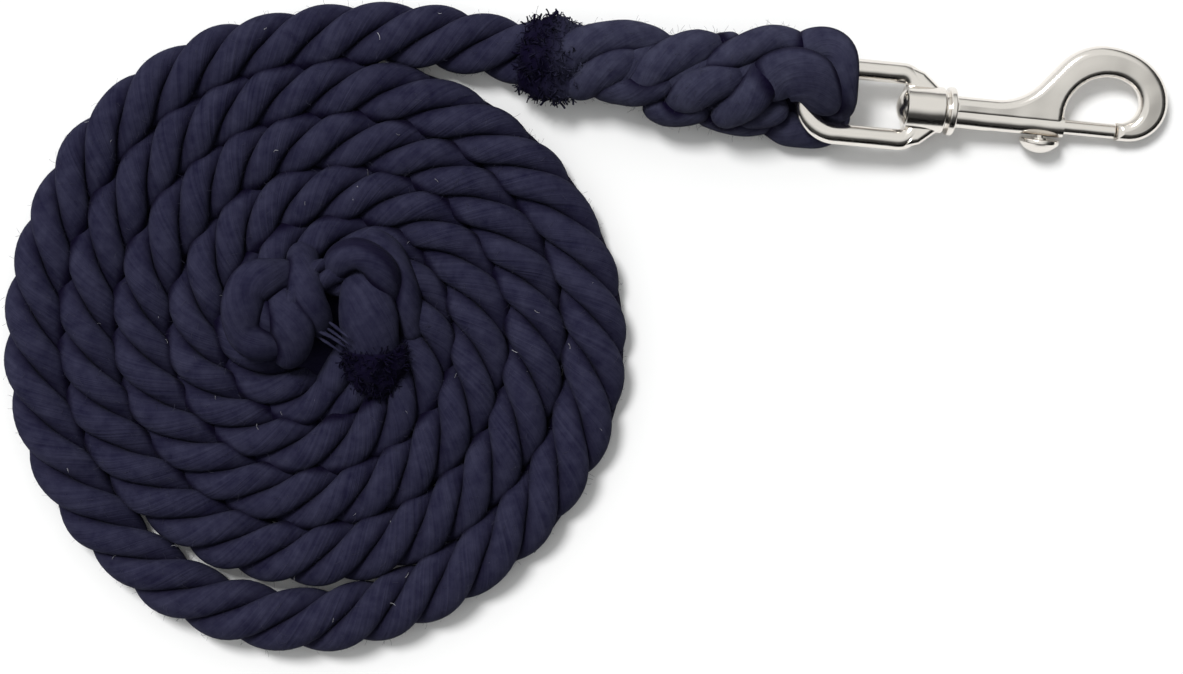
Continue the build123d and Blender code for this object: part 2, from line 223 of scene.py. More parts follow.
def wander(along, wavelength):
    """A smooth random swing between about -1 and 1 along a line, from waves a little longer and shorter."""
    waves = rng.uniform(0.6, 1.6, WANDER_WAVES) / wavelength
    phases = rng.uniform(0, 2 * math.pi, WANDER_WAVES)
    return np.sin(2 * math.pi * np.outer(along, waves) + phases).mean(axis=1) * WANDER_REACH


def lobed_section(lobes, crease, fullness):
    """Angles, radii and painted light of a section of lobes that meet in steep creases: the light is 0,
    painted shade, in a crease. The lobes' tops are at 1.
    """
    half = math.pi / lobes
    shares = np.sin(np.linspace(-math.pi / 2, math.pi / 2, LOBE_POINTS + 1))[:-1]
    rise = np.sqrt(1 - np.abs(shares) ** fullness)
    turns = np.arange(lobes) * 2 * half
    angles = (turns[:, None] + shares * half).ravel()
    return angles, np.tile(crease + (1 - crease) * rise, lobes), np.tile(rise, lobes)


THREE_LOBES = lobed_section(3, crease=0.40, fullness=2.05)
print("points round the rope", len(THREE_LOBES[0]))

# %% [markdown]
# A section swept along the line is written out as rings of points, which is quicker and surer than a
# boolean of three tubes. Each tube gets a UV map laid out along its yarns, and an attribute of painted
# shade that is dark in each crease, because the creases of a dyed rope look nearly black.

# %% A tube of rings
def ring_mesh(name, rings, uvs, painted_lights, crease_every=None):
    """A closed tube through rings of points, with both ends closed to a point. Its UV map is laid out in
    metres along and across the yarns, and its attribute of painted light is 0, painted shade, in a crease and
    1 on a strand's top."""
    count, around = rings.shape[:2]
    points = np.concatenate((rings.reshape(-1, 3), rings[[0, -1]].mean(axis=1)))
    rows = np.arange(count - 1)[:, None] * around
    columns = np.arange(around)
    following = (columns + 1) % around
    quads = np.stack(
        (rows + columns, rows + following, rows + around + following, rows + around + columns), axis=2
    )
    corners = (uvs[:-1, :-1], uvs[:-1, 1:], uvs[1:, 1:], uvs[1:, :-1])
    last = (count - 1) * around
    faces = quads.reshape(-1, 4).tolist()
    first_end = count * around
    faces += [(first_end, int(n), int(c)) for c, n in zip(columns, following)]
    faces += [(first_end + 1, int(last + c), int(last + n)) for c, n in zip(columns, following)]
    mesh = bpy.data.meshes.new(name)
    mesh.from_pydata(points.tolist(), [], faces)
    corner_uvs = np.zeros((len(mesh.loops), 2), dtype=np.float32)
    corner_uvs[: quads.size] = np.stack(corners, axis=2).reshape(-1, 2)
    corner_uvs[quads.size : quads.size + 3 * around] = uvs[0].mean(axis=0)
    corner_uvs[quads.size + 3 * around :] = uvs[-1].mean(axis=0)
    mesh.uv_layers.new(name="yarn").data.foreach_set("uv", corner_uvs.ravel())
    mesh.polygons.foreach_set("use_smooth", np.ones(len(mesh.polygons), dtype=bool))
    if crease_every:
        ends = np.empty(len(mesh.edges) * 2, dtype=np.int32)
        mesh.edges.foreach_get("vertices", ends)
        first, second = ends.reshape(-1, 2).T
        body = np.maximum(first, second) < first_end
        sharp = body & (first % around % crease_every == 0) & (first % around == second % around)
        mesh.edges.foreach_set("use_edge_sharp", sharp)
    # Painted light: 0 is painted crease shade and 1 is full light. The two end points get full light.
    painted_light = np.ones(len(mesh.vertices), dtype=np.float32)
    painted_light[:first_end] = painted_lights.ravel()
    mesh.attributes.new("painted_light", "FLOAT", "POINT").data.foreach_set("value", painted_light)
    mesh.update()
    piece = bpy.data.objects.new(name, mesh)
    scene.collection.objects.link(piece)
    return piece


def join_pieces(name, pieces):
    """One piece made of several."""
    with bpy.context.temp_override(active_object=pieces[0], selected_editable_objects=pieces):
        bpy.ops.object.join()
    pieces[0].name = name
    pieces[0].data.name = name
    return pieces[0]


def triangle_count(mesh):
    """How many triangles a mesh's faces make."""
    return len(mesh.loops) - 2 * len(mesh.polygons)


print("rings of the rope", len(rope_line), "triangles", 2 * len(THREE_LOBES[0]) * len(rope_line))

# %% [markdown]
# Two turns that lie side by side get painted shade where they touch, as two strands in a crease do. How
# much room each point has to its neighbours is worked out here from the middle lines, and it paints shade
# into the same attribute as the creases.

# %% Shade between neighbours
ROPE_SHADE = 0.0027  # this far from a neighbouring turn a rope gets no painted shade
STRAND_SHADE = 0.0023  # the same for a strand in a splice
NEAR_BY = 3.2  # a neighbour's middle more thicknesses off than this is too far to paint shade on a point


def room_beside(rings, line, thick, neighbours, shade, close_by=None):
    """Painted shade: 0 where a surface touches what lies beside it, 1 from a little way off.

    The neighbours are pairs of a middle line and a thickness. With close_by, the line's own later and
    earlier stretches are neighbours too.
    """
    room = np.ones(rings.shape[:2])
    along = lengths_along(line)
    for i, (ring, middle) in enumerate(zip(rings, line)):
        own = np.linalg.norm(ring - middle, axis=1) / thick
        beside = list(neighbours)
        if close_by:
            beside.append((line[np.abs(along - along[i]) > close_by], thick))
        for other, size in beside:
            near = other[np.linalg.norm(other - middle, axis=1) < NEAR_BY * max(thick, size)]
            if len(near):
                apart = np.linalg.norm(ring[:, None] - near[None], axis=2).min(axis=1) / size
                clear = np.maximum((apart - own) * thick, (apart - 1) * size)
                room[i] = np.minimum(room[i], np.clip(clear / shade, 0, 1))
    return room


print("shade reaches", ROPE_SHADE, "and", STRAND_SHADE)

# %% [markdown]
# Laying a rope turns its section once in each lay. A little random sway in the turning and in the
# thickness keeps it from looking machined. The yarns within a strand are twisted the other way, so on the
# surface they run nearly along the rope, and the UV map slants them so.

# %% Laying strands
YARN_SLANT = 0.55  # how far the yarns lean back from the strand towards the rope's own line
TURN_SWAY = 0.12  # radians
TURN_WAVE = 0.09  # metres from sway to sway
SWELL = 0.025  # of the thickness
SWELL_WAVE = 0.03


def lay_rope(name, line, section, radii, lay, phase=0.0, wide=1.0, high=1.0, close_by=None):
    """A lobed section swept along a line, turning left-handed once in each lay.

    The lay is pairs of a place along the line and the length of a full turn there.
    """
    angles, shares, top_light = section
    along = lengths_along(line)
    lays = np.interp(along, *zip(*lay))
    turned = np.concatenate(((0,), np.cumsum(np.diff(along) / lays[1:])))
    turn = phase - 2 * math.pi * turned + TURN_SWAY * wander(along, TURN_WAVE)
    swell = 1 + SWELL * wander(along, SWELL_WAVE)
    total = angles[None, :] + turn[:, None]
    reach = shares[None, :] * (np.broadcast_to(radii, along.shape) * swell)[:, None]
    # Painted light: each lobe's top is lit and its creases get painted shade.
    painted_lights = np.broadcast_to(top_light, total.shape)
    rings = rings_round(line, total, reach * wide, reach * high)
    mean = float(np.mean(radii))
    around = np.append(angles, angles[0] + 2 * math.pi)
    across = around[None, :] * mean + 2 * math.pi * mean * YARN_SLANT * turned[:, None]
    uvs = np.stack((np.broadcast_to(along[:, None], across.shape), across), axis=2)
    # Painted shade where the rope's own turns touch each other.
    if close_by:
        painted_lights = painted_lights * room_beside(rings, line, float(np.max(radii)), (), ROPE_SHADE, close_by)
    return ring_mesh(name, rings, uvs, painted_lights, crease_every=LOBE_POINTS)


print("yarns slant", YARN_SLANT)

# %% [markdown]
# The rope itself is a little wider than high, because it lies on the floor under its own weight, and the
# soft lobes press out past the round that it is sold by. Its last stretch is hidden inside the back
# splice's own strands, so it is thinner there.

# %% The laid rope
# The length of one full turn of the strands, from the splice inwards: handling has loosened the outer turns.
LAY_PLACES = ((0.0, 0.052), (0.14, 0.057), (0.70, 0.057), (0.95, 0.051), (2.10, 0.050))
LOBE_REACH = 0.0099
LYING_WIDTH = 1.16
LYING_HEIGHT = 0.95
CLOSE_BY = 0.035  # a rope's own middle nearer than this along it isn't a neighbour
fade = np.interp(rope_length - rope_along, (0, 0.004, 0.070, 0.090), (0.20, 0.58, 0.62, 1.0))
laid_rope = lay_rope(
    "laid_rope",
    rope_line,
    THREE_LOBES,
    LOBE_REACH * fade,
    LAY_PLACES,
    wide=LYING_WIDTH,
    high=LYING_HEIGHT,
    close_by=CLOSE_BY,
)
print("rope across the lobes", round(2 * LOBE_REACH * LYING_WIDTH, 4))

# %% [markdown]
# Where the creases of two turns meet, a hole would show the floor. On the real rope loose fibre fills it,
# and here a plain oval painted dark as deep shade does, low in the coil.

# %% The coil's bed
BED_WIDTH = 0.0104
BED_HEIGHT = 0.0045
BED_DROP = 0.003  # below the rope's middle
BED_STEP = 0.003
BED_POINTS = 12  # round it
# Between the two beds the outermost turn stands off the next, and the floor shows.
BED_TURNS = ((0.62, 1.34), (1.62, 4.5))


def plain_bed(name, first_turn, last_turn):
    """A flat oval low in the coil, painted dark as shade, from one turn to another."""
    count = round((last_turn - first_turn) * POINTS_PER_TURN)
    route = [coil_point(first_turn + i / POINTS_PER_TURN) - (0, 0, BED_DROP) for i in range(count + 1)]
    line = nurbs_line(route, BED_STEP)
    angles = np.linspace(0, 2 * math.pi, BED_POINTS, endpoint=False)[None, :]
    rings = rings_round(line, angles, BED_WIDTH, BED_HEIGHT)
    # Painted shade all over: the bed's painted light is 0, so it takes the crease shade colour.
    return ring_mesh(name, rings, np.zeros((len(line), BED_POINTS + 1, 2)), np.zeros(rings.shape[:2]))


beds = [plain_bed(f"bed_{i}", *turns) for i, turns in enumerate(BED_TURNS)]
laid_rope = join_pieces("laid_rope", [laid_rope, *beds])
print("laid rope's triangles", triangle_count(laid_rope.data))

# %% [markdown]
# Where the rope is spliced its strands no longer run evenly: each dives under a neighbour and comes up
# again as a short pillow. Every visible pillow is therefore a strand of its own, an oval swept along a
# short spline whose width and height change along it. A plainer laid body underneath fills the splice.

# %% Single strands
MM = 0.001
STRAND_STEP = 0.0009
OVAL_POINTS = 32
STRAND_SWELL = 0.04
STRAND_WAVE = 0.02
SHARPEST_END = 0.0004  # the square of the least share of its thickness that a strand has at its ends
LIT_FROM = 0.45  # of the oval's height: above it a strand gets no painted shade
END_SHADE = 0.003  # a strand gets painted shade this near to where it dives
LOW_LIGHT = 0.25  # of full light that is painted on the flanks of a strand, as shade
STRAND_SLANT = 0.5
FILLER_LIGHT = 0.2  # of full light that is painted on a filler strand deep in a hollow, as shade


def single_strand(name, line, widths, heights, neighbours, light):
    """An oval strand along a line. Half widths and half heights are in mm, spread along it."""
    along = lengths_along(line)
    shares = along / along[-1]
    wide = np.interp(shares, np.linspace(0, 1, len(widths)), widths) * MM
    high = np.interp(shares, np.linspace(0, 1, len(heights)), heights) * MM
    to_end = np.minimum(along, along[-1] - along)
    rounding = np.sqrt(np.clip(1 - (1 - np.clip(to_end / wide, 0, 1)) ** 2, SHARPEST_END, 1))
    angles = np.linspace(0, 2 * math.pi, OVAL_POINTS, endpoint=False)
    swell = 1 + STRAND_SWELL * wander(along, STRAND_WAVE)
    rings = rings_round(
        line, angles, (wide * rounding * swell)[:, None], (high * rounding * swell)[:, None]
    )
    # Painted light: the top of the oval is lit, and its flanks, the ends where it dives and where neighbours
    # press on it get painted shade.
    top_light = np.clip(np.sin(angles) / LIT_FROM, 0, 1) * np.minimum(1, to_end / END_SHADE)[:, None]
    across = np.append(angles, 2 * math.pi)[None, :] * float(np.mean(widths)) * MM
    across = across + STRAND_SLANT * along[:, None]
    uvs = np.stack((np.broadcast_to(along[:, None], across.shape), across), axis=2)
    room = room_beside(rings, line, float(np.mean(wide)), neighbours, STRAND_SHADE)
    return ring_mesh(name, rings, uvs, light * (LOW_LIGHT + (1 - LOW_LIGHT) * top_light) * room)


print("points round a strand", OVAL_POINTS)

# %% [markdown]
# The strands of one splice are written as a table and made together, so that each knows which others press
# on it. Near its rounded ends a strand presses on nothing, so those are left out of the painted shade.

# %% Groups of strands
ROUNDED_END = 0.8  # of a strand's half width


def strand_group(name, strands, beside=(), fillers=(), others=()):
    """One piece from a table of strands: each a route, half widths and half heights, all in mm.

    Beside are the tables of other pieces' strands that press on these. Fillers are strands painted dark as
    shade, that close the hollows between the others, and others are pieces already made.
    """
    lines = [nurbs_line(np.array(route) * MM, STRAND_STEP) for route, _, _ in (*strands, *beside)]
    pressing = []
    for line, (_, widths, _) in zip(lines, (*strands, *beside)):
        width = float(np.mean(widths)) * MM
        left_out = round(ROUNDED_END * width / STRAND_STEP)
        pressing.append((line[left_out:-left_out], width))
    made = [
        single_strand(f"{name}_{i}", lines[i], widths, heights, pressing[:i] + pressing[i + 1 :], 1.0)
        for i, (_, widths, heights) in enumerate(strands)
    ]
    # Filler strands are painted dark, as the shade in the hollows.
    for i, (route, widths, heights) in enumerate(fillers):
        line = nurbs_line(np.array(route) * MM, STRAND_STEP)
        made.append(single_strand(f"{name}_filler_{i}", line, widths, heights, (), FILLER_LIGHT))
    piece = join_pieces(name, [*made, *others])
    print(name, "strands", len(strands), "triangles", triangle_count(piece.data))
    return piece


print("step along a strand", STRAND_STEP)

# %% [markdown]
# An eye splice tucks the rope's three strands back into the rope, over and under, several times. That makes
# the stretch behind the snap half as thick again. The body underneath is laid like the rope with shallow
# creases, and eleven strands lie over it where they show.

# %% The eye splice
SPLICE_ROUTE = (
    (-0.1500, 0.0150, 0.0110), (-0.1300, 0.0125, 0.0120), (-0.1100, 0.0100, 0.0130),
    (-0.0900, 0.0085, 0.0140), (-0.0700, 0.0070, 0.0150),
)
SPLICE_LOBES = lobed_section(3, crease=0.62, fullness=2.6)
SPLICE_STEP = 0.0011
SPLICE_LAY = 0.058
SPLICE_PHASE = 0.6
splice_line = nurbs_line(SPLICE_ROUTE, SPLICE_STEP)
splice_shares = np.linspace(0, 1, len(splice_line))
splice_reach = np.interp(splice_shares, (0, 0.3, 0.7, 1), (0.0105, 0.0122, 0.0128, 0.0105))
splice_core = lay_rope(
    "splice_core", splice_line, SPLICE_LOBES, splice_reach, ((0, SPLICE_LAY), (1, SPLICE_LAY)), SPLICE_PHASE
)
SPLICE_STRANDS = (
    (
        (
            (-150, 12, 17), (-141, 17.5, 19.5), (-131, 20, 20),
            (-121, 20.5, 19), (-112, 18.5, 16), (-107, 15, 13),
        ),
        (5, 6.5, 6.8, 6.6, 5.5, 4),
        (5, 6.5, 7, 6.5, 5.5, 4),
    ),
    (
        ((-144, 2.5, 11), (-138, 6.5, 17), (-130.5, 10.5, 20.5), (-123, 13.5, 19.5), (-117, 15, 15)),
        (5, 6.6, 7.2, 6.6, 4),
        (6, 6.4, 6.2, 5.8, 4),
    ),
    (
        ((-137, 5, 12), (-128, 3.6, 15.5), (-119, 3.2, 18), (-110, 5.5, 19.5), (-105, 9, 18)),
        (4, 6, 6.4, 6, 4),
        (6, 7, 6.5, 6, 4),
    ),
    (
        ((-123, 3, 15), (-116.5, 8.5, 21.5), (-108, 14, 23.5), (-99, 17.3, 22), (-90, 17, 17)),
        (5, 6.8, 7, 6.6, 4.5),
        (5, 6, 6.2, 6.5, 4),
    ),
    (((-98, 17, 14), (-91, 19.5, 16), (-84, 19.5, 16)), (3.5, 4.2, 3.5), (6, 7.5, 6)),
    (
        (
            (-60, 14, 20), (-65, 18, 22), (-72, 20, 22.5), (-80, 17.8, 23.5),
            (-87, 14.5, 24), (-94, 11, 22), (-101, 7.5, 17),
        ),
        (4, 5, 5.4, 5.6, 5.4, 5, 3.5),
        (5.5, 6, 6.4, 6.4, 6, 5.5, 4),
    ),
    (
        ((-109, -2, 14), (-103, 1.5, 21), (-96, 4.3, 24), (-89, 6.3, 23), (-82.5, 7.5, 18)),
        (5.5, 7, 7.2, 6.4, 4.5),
        (5.5, 6.4, 6.4, 6, 4.5),
    ),
    (
        ((-118, -2, 10), (-110, -4.6, 13), (-102, -4.6, 15), (-95, -2.5, 16)),
        (4, 5.4, 5.4, 4.5),
        (6, 7, 6, 5),
    ),
    (
        ((-93, -7, 14), (-87, -4.6, 20), (-80.5, 0.5, 24.5), (-76, 7, 25), (-73, 14, 21)),
        (4.5, 6.3, 7, 6.8, 5),
        (5.5, 6, 6, 5.6, 4),
    ),
    (((-100, -4, 9), (-90, -7.2, 10), (-80, -8, 9.5), (-72, -7, 9)), (4, 5, 5.2, 4.5), (6, 7.5, 7.5, 6)),
    (((-88, -4, 13), (-79, -5.2, 16), (-72, -4, 16.5), (-68, -2.5, 15)), (5, 6, 6, 4.5), (5, 5.5, 5, 4)),
)
# A filler strand painted dark as the shade in a hollow of the splice.
SPLICE_FILLERS = (
    (((-84, -2, 12), (-75, -2, 9), (-66, -1.5, 7.5), (-57, -1, 7)), (6, 7, 7, 6), (6, 5, 4.2, 4)),
)

print("body under the splice", round(float(lengths_along(splice_line)[-1]), 3))

# %% [markdown]
# The eye is the rope's own loop round the far bar of the metal. Three strands show: two pass over the bar
# and down behind it, and one comes back underneath. They are a piece apart from the splice.

# %% The eye of rope round the metal
EYE_STRANDS = (
    (
        (
            (-78, 1, 17), (-74.5, 6.5, 25), (-67.5, 8.2, 27.5),
            (-60.5, 5.2, 27.5), (-56, 0, 24), (-53, -4.5, 16),
        ),
        (5.5, 8.4, 9.8, 9.8, 7.6, 4.8),
        (5, 6, 6, 5.4, 4.6, 4.2),
    ),
    (
        (
            (-68, 14, 19), (-59, 18.5, 24), (-51, 16, 26.8), (-50.2, 8, 26),
            (-50.5, 0, 20), (-51, -4, 12), (-57, -6, 6),
        ),
        (5, 6.4, 6.6, 6.6, 6.4, 6, 5),
        (4.5, 5, 4.8, 4.8, 4.6, 4.5, 4.2),
    ),
    (
        ((-82, -2, 9), (-73, -7, 8), (-64, -10.8, 6.4), (-56, -11.5, 6.2), (-50, -7, 6.2), (-49, -2, 9)),
        (5, 6.4, 6.6, 6, 5.5, 4.5),
        (6, 6.2, 6, 5.6, 5.2, 4),
    ),
)
eye_splice = strand_group(
    "eye_splice_strands", SPLICE_STRANDS, beside=EYE_STRANDS, fillers=SPLICE_FILLERS, others=[splice_core]
)
rope_eye = strand_group("rope_eye_strands", EYE_STRANDS, beside=SPLICE_STRANDS)

# %% [markdown]
# At its free end the rope's three strands are crowned, each bent down over the next, which is the knot, and
# tucked back down the rope. The tucked stretch is as thick as the eye splice. It bends back on itself in the
# coil's heart, so that the knot stands on the inmost turn.

# %% The back splice and the crown knot
BACK_STRANDS = (
    (
        ((-212.5, -94, 12), (-212.5, -86, 20), (-213.5, -76, 23), (-215, -66, 22.5), (-219, -60, 19)),
        (8, 9.8, 10.4, 9.2, 7),
        (7, 8, 8, 7.4, 6),
    ),
    (
        (
            (-226, -67, 10), (-225.5, -58, 22), (-217.5, -53.5, 28.5),
            (-210, -57.5, 27.5), (-207, -65, 23), (-206, -73, 15),
        ),
        (4.5, 5.4, 5.6, 5.6, 5.2, 4),
        (5, 6, 6, 6, 6, 5),
    ),
    (
        ((-237, -52.5, 11), (-236.5, -60, 24), (-235, -67, 28), (-232.5, -74.5, 26), (-230, -81, 16)),
        (5, 6, 6.2, 6, 4.5),
        (5, 6, 6, 6, 5),
    ),
    (
        ((-214, -47, 11), (-206.5, -53, 16), (-202, -63, 17.5), (-200, -74, 16), (-198.5, -84, 11)),
        (4, 5, 5.2, 5, 4),
        (6, 7, 7, 7, 6),
    ),
    (((-218.5, -84, 11), (-223.5, -93, 11), (-230, -104, 10)), (5, 6, 5), (7, 7.5, 7)),
)
# Filler strands painted dark as the shade in the hollows of the heart.
BACK_FILLERS = (
    (((-229, -65, 7), (-227, -75, 7.5), (-225, -88, 7)), (7, 8, 7), (6, 6, 6)),
    (((-240, -84, 7), (-234, -90, 7.5), (-226, -94, 7)), (8, 9, 8), (6, 6, 6)),
    (((-241, -60, 7), (-242.5, -72, 7.5), (-241, -86, 7)), (8, 9, 8), (6, 6, 6)),
)
KNOT_STRANDS = (
    (
        (
            (-239.5, -62, 19), (-246.5, -62.5, 28), (-254.5, -65, 31), (-256.5, -73, 30.5),
            (-256.5, -81.5, 28), (-250.5, -86.5, 27), (-243, -86, 21),
        ),
        (5, 6.8, 7.6, 7.4, 6.6, 6.2, 4.5),
        (5, 6.5, 7, 6.8, 6.2, 6, 4.5),
    ),
    (
        ((-247, -66, 22), (-243, -72, 27.5), (-239, -79, 28.5), (-239, -87, 24), (-244, -92, 18)),
        (5.5, 7.4, 7.6, 6.8, 4.5),
        (5, 6, 6, 6, 5),
    ),
    (((-255, -69, 21.5), (-249.5, -75, 26.5), (-243.5, -81.5, 22.5)), (7, 9, 7.5), (7, 8, 7)),
)
# A few yarns have come loose where the knot's strands were cut.
LOOSE_YARNS = (
    (((-234, -79.5, 23), (-229, -82, 26.5), (-222, -85, 25)), (0.3, 0.6, 0.3), (0.4, 0.5, 0.3)),
    (((-233, -82, 21), (-228, -84.8, 24.5), (-222, -89, 23)), (0.3, 0.5, 0.3), (0.4, 0.5, 0.3)),
    (((-229.5, -76.5, 22), (-225, -79, 27), (-219, -84, 31)), (0.3, 0.6, 0.3), (0.4, 0.5, 0.3)),
    (((-231, -80, 22), (-226, -83.2, 26), (-220.5, -87, 26.5)), (0.3, 0.6, 0.3), (0.4, 0.5, 0.3)),
    (((-232, -78, 21), (-226, -80.5, 25), (-219, -86.5, 27.5)), (0.3, 0.5, 0.3), (0.4, 0.5, 0.3)),
)
loose_yarns = strand_group("loose_yarns", LOOSE_YARNS)
back_splice = strand_group("back_splice_strands", BACK_STRANDS, beside=KNOT_STRANDS, fillers=BACK_FILLERS)
crown_knot = strand_group("crown_knot_strands", KNOT_STRANDS, beside=BACK_STRANDS)

# %% [markdown]
# Fibres and finishes are both built from nodes here. Three small helpers keep that short: one adds a node
# and joins it to those before it, one opens a group with named inputs and outputs, and one starts a
# material from the values that are the same all over it.

# %% Node helpers
def add_node(tree, kind, feeds=None, **settings):
    """A node of that kind. Feeds are its inputs by index, and settings its properties or inputs by name.

    An input is given a value, or another node's output to be linked from.
    """
    node = tree.nodes.new(kind)
    inputs = dict(feeds or {})
    for name, value in settings.items():
        if name in node.bl_rna.properties:
            setattr(node, name, value)
        else:
            inputs[name.replace("_", " ")] = value
    for name, value in inputs.items():
        if isinstance(value, bpy.types.NodeSocket):
            tree.links.new(value, node.inputs[name])
        else:
            node.inputs[name].default_value = value
    return node


def node_group(name, kind, inputs, outputs):
    """An empty node group with those sockets: its tree and its two end nodes."""
    tree = bpy.data.node_groups.new(name, kind)
    for socket, socket_kind, value in inputs:
        made = tree.interface.new_socket(socket, in_out="INPUT", socket_type=f"NodeSocket{socket_kind}")
        if value is not None:
            made.default_value = value
    for socket, socket_kind in outputs:
        tree.interface.new_socket(socket, in_out="OUTPUT", socket_type=f"NodeSocket{socket_kind}")
    return tree, tree.nodes.new("NodeGroupInput"), tree.nodes.new("NodeGroupOutput")


def new_material(name, **values):
    """A material with those values on its shader's inputs, by name: the material and its shader."""
    material = bpy.data.materials.new(name)
    material.use_nodes = True
    shader = material.node_tree.nodes["Principled BSDF"]
    for socket, value in values.items():
        shader.inputs[socket.replace("_", " ")].default_value = value
    return material, shader


print("node groups so far", len(bpy.data.node_groups))

# %% [markdown]
# Cut yarn ends fray into tufts, and loose fibres stand off cotton everywhere. One Geometry Nodes tree
# grows both: it scatters points over a surface and stands a tapering, bent fibre on each. Its inputs set how
# many, how long, how thick and how far they lean. A fibre is a bent line of a few steps with three sides,
# because there are tens of thousands.

# %% A tree that grows fibres
FIBRE_STEPS = 3
FIBRE_SIDES = 3
FIBRE_BEND_AT = 0.5  # of its length
FIBRE_TIP_AT = 0.85  # its bent tip is lower than its length
FIBRE_TAPER = 1.02  # a little over 1, so that the tip doesn't close to a point
SHORTEST_FIBRE = 0.45  # of the length asked for
LONGEST_FIBRE = 1.15


def fibre_tree():
    """Scattered tapering fibres."""
    tree, given, result = node_group(
        "loose_fibres",
        "GeometryNodeTree",
        (
            ("Geometry", "Geometry", None),
            ("Density", "Float", 1000.0),
            ("Length", "Float", 0.003),
            ("Width", "Float", 0.0001),
            ("Lean", "Float", 1.0),
            ("Bend", "Float", 0.5),
            ("Seed", "Int", 1),
            ("Material", "Material", None),
        ),
        (("Geometry", "Geometry"),),
    )
    source = given.outputs
    scatter = add_node(
        tree,
        "GeometryNodeDistributePointsOnFaces",
        Mesh=source["Geometry"],
        Density=source["Density"],
        Seed=source["Seed"],
    )
    tip = add_node(tree, "ShaderNodeCombineXYZ", X=source["Bend"], Z=FIBRE_TIP_AT)
    bent = add_node(
        tree,
        "GeometryNodeCurveQuadraticBezier",
        Resolution=FIBRE_STEPS,
        Start=(0, 0, 0),
        Middle=(0, 0, FIBRE_BEND_AT),
        End=tip.outputs[0],
    )
    height = add_node(tree, "GeometryNodeSplineParameter").outputs["Factor"]
    taper = add_node(tree, "ShaderNodeMath", {0: FIBRE_TAPER, 1: height}, operation="SUBTRACT")
    tapered = add_node(tree, "GeometryNodeSetCurveRadius", Curve=bent.outputs[0], Radius=taper.outputs[0])
    ratio = add_node(tree, "ShaderNodeMath", {0: source["Width"], 1: source["Length"]}, operation="DIVIDE")
    ring = add_node(
        tree, "GeometryNodeCurvePrimitiveCircle", Resolution=FIBRE_SIDES, Radius=ratio.outputs[0]
    )
    fibre = add_node(
        tree, "GeometryNodeCurveToMesh", Curve=tapered.outputs[0], Profile_Curve=ring.outputs["Curve"]
    )
    # Each fibre stands on the surface, leans at random both ways, and is turned at random about itself.
    normal = scatter.outputs["Normal"]
    upright = add_node(tree, "FunctionNodeAlignRotationToVector", axis="Z", Vector=normal)
    back = add_node(tree, "ShaderNodeMath", {0: source["Lean"], 1: -1.0}, operation="MULTIPLY").outputs[0]
    least = add_node(tree, "ShaderNodeCombineXYZ", X=back, Y=back)
    most = add_node(tree, "ShaderNodeCombineXYZ", X=source["Lean"], Y=source["Lean"], Z=2 * math.pi)
    leans = add_node(
        tree,
        "FunctionNodeRandomValue",
        {0: least.outputs[0], 1: most.outputs[0]},
        data_type="FLOAT_VECTOR",
        Seed=source["Seed"],
    )
    lean = add_node(tree, "FunctionNodeEulerToRotation", {0: leans.outputs[0]})
    leaning = add_node(
        tree,
        "FunctionNodeRotateRotation",
        rotation_space="LOCAL",
        Rotation=upright.outputs[0],
        Rotate_By=lean.outputs[0],
    )
    sizes = add_node(
        tree, "FunctionNodeRandomValue", {2: SHORTEST_FIBRE, 3: LONGEST_FIBRE}, data_type="FLOAT"
    )
    length = add_node(
        tree, "ShaderNodeMath", {0: sizes.outputs[1], 1: source["Length"]}, operation="MULTIPLY"
    )
    place = add_node(
        tree,
        "GeometryNodeInstanceOnPoints",
        Points=scatter.outputs["Points"],
        Instance=fibre.outputs[0],
        Rotation=leaning.outputs[0],
        Scale=length.outputs[0],
    )
    real = add_node(tree, "GeometryNodeRealizeInstances", {0: place.outputs[0]})
    dress = add_node(tree, "GeometryNodeSetMaterial", Geometry=real.outputs[0], Material=source["Material"])
    tree.links.new(dress.outputs[0], result.inputs["Geometry"])
    return tree


loose_fibres = fibre_tree()
tree_inputs = [item for item in loose_fibres.interface.items_tree if item.in_out == "INPUT"]
fibre_sockets = {item.name: item.identifier for item in tree_inputs}
print("fibre tree's nodes", len(loose_fibres.nodes), "inputs", list(fibre_sockets))

# %% [markdown]
# The tree runs once on an object that holds the surface's own mesh, and its result is kept as a plain mesh.
# The fibres take over the surface's attribute of painted light, so those in a crease get the same painted
# shade as the crease.

# %% Growing fibres on a piece
def grow_fibres(name, source, material, **values):
    """Fibres grown on a piece's surface, as a plain mesh piece of their own."""
    grower = bpy.data.objects.new(name, source.data)
    scene.collection.objects.link(grower)
    modifier = grower.modifiers.new("fibres", "NODES")
    modifier.node_group = loose_fibres
    for key, value in {**values, "Material": material}.items():
        modifier[fibre_sockets[key]] = value
    bpy.context.view_layer.update()
    grown = grower.evaluated_get(bpy.context.evaluated_depsgraph_get())
    mesh = bpy.data.meshes.new_from_object(grown)
    bpy.data.objects.remove(grower)
    piece = bpy.data.objects.new(name, mesh)
    mesh.name = name
    scene.collection.objects.link(piece)
    print(name, "triangles", triangle_count(mesh))
    return piece


print("fibre's steps and sides", FIBRE_STEPS, FIBRE_SIDES)

# %% [markdown]
# Cotton is matt, with a soft sheen from the fibres that stand off it. Its yarns show as fine streaks, so the
# pattern follows the piece's own UV map, which is laid out along the yarns and across them, in metres. Wide
# soft patches are where the dye took unevenly, and the attribute of painted light paints shade that turns the
# creases nearly black.

# %% Spun yarn
# Painted shade: the colour that creases, touching pieces, hollows and tufts are mixed down to.
CREASE_SHADE_COLOUR = (0.0030, 0.0017, 0.0108, 1)
FIBRE_STREAKS = (70, 1500, 1)  # along and across the yarn, in each metre
YARN_STREAKS = (35, 420, 1)
DYE_PATCHES = 170.0
FIBRE_HEIGHT = 0.6  # beside 1 for the yarns
STREAK_TONE = 0.5
PATCH_TONE = 0.9
TONE_RANGE = (0.58, 1.12)
UNSHADED_FROM = 0.85  # from here on a point gets no painted shade
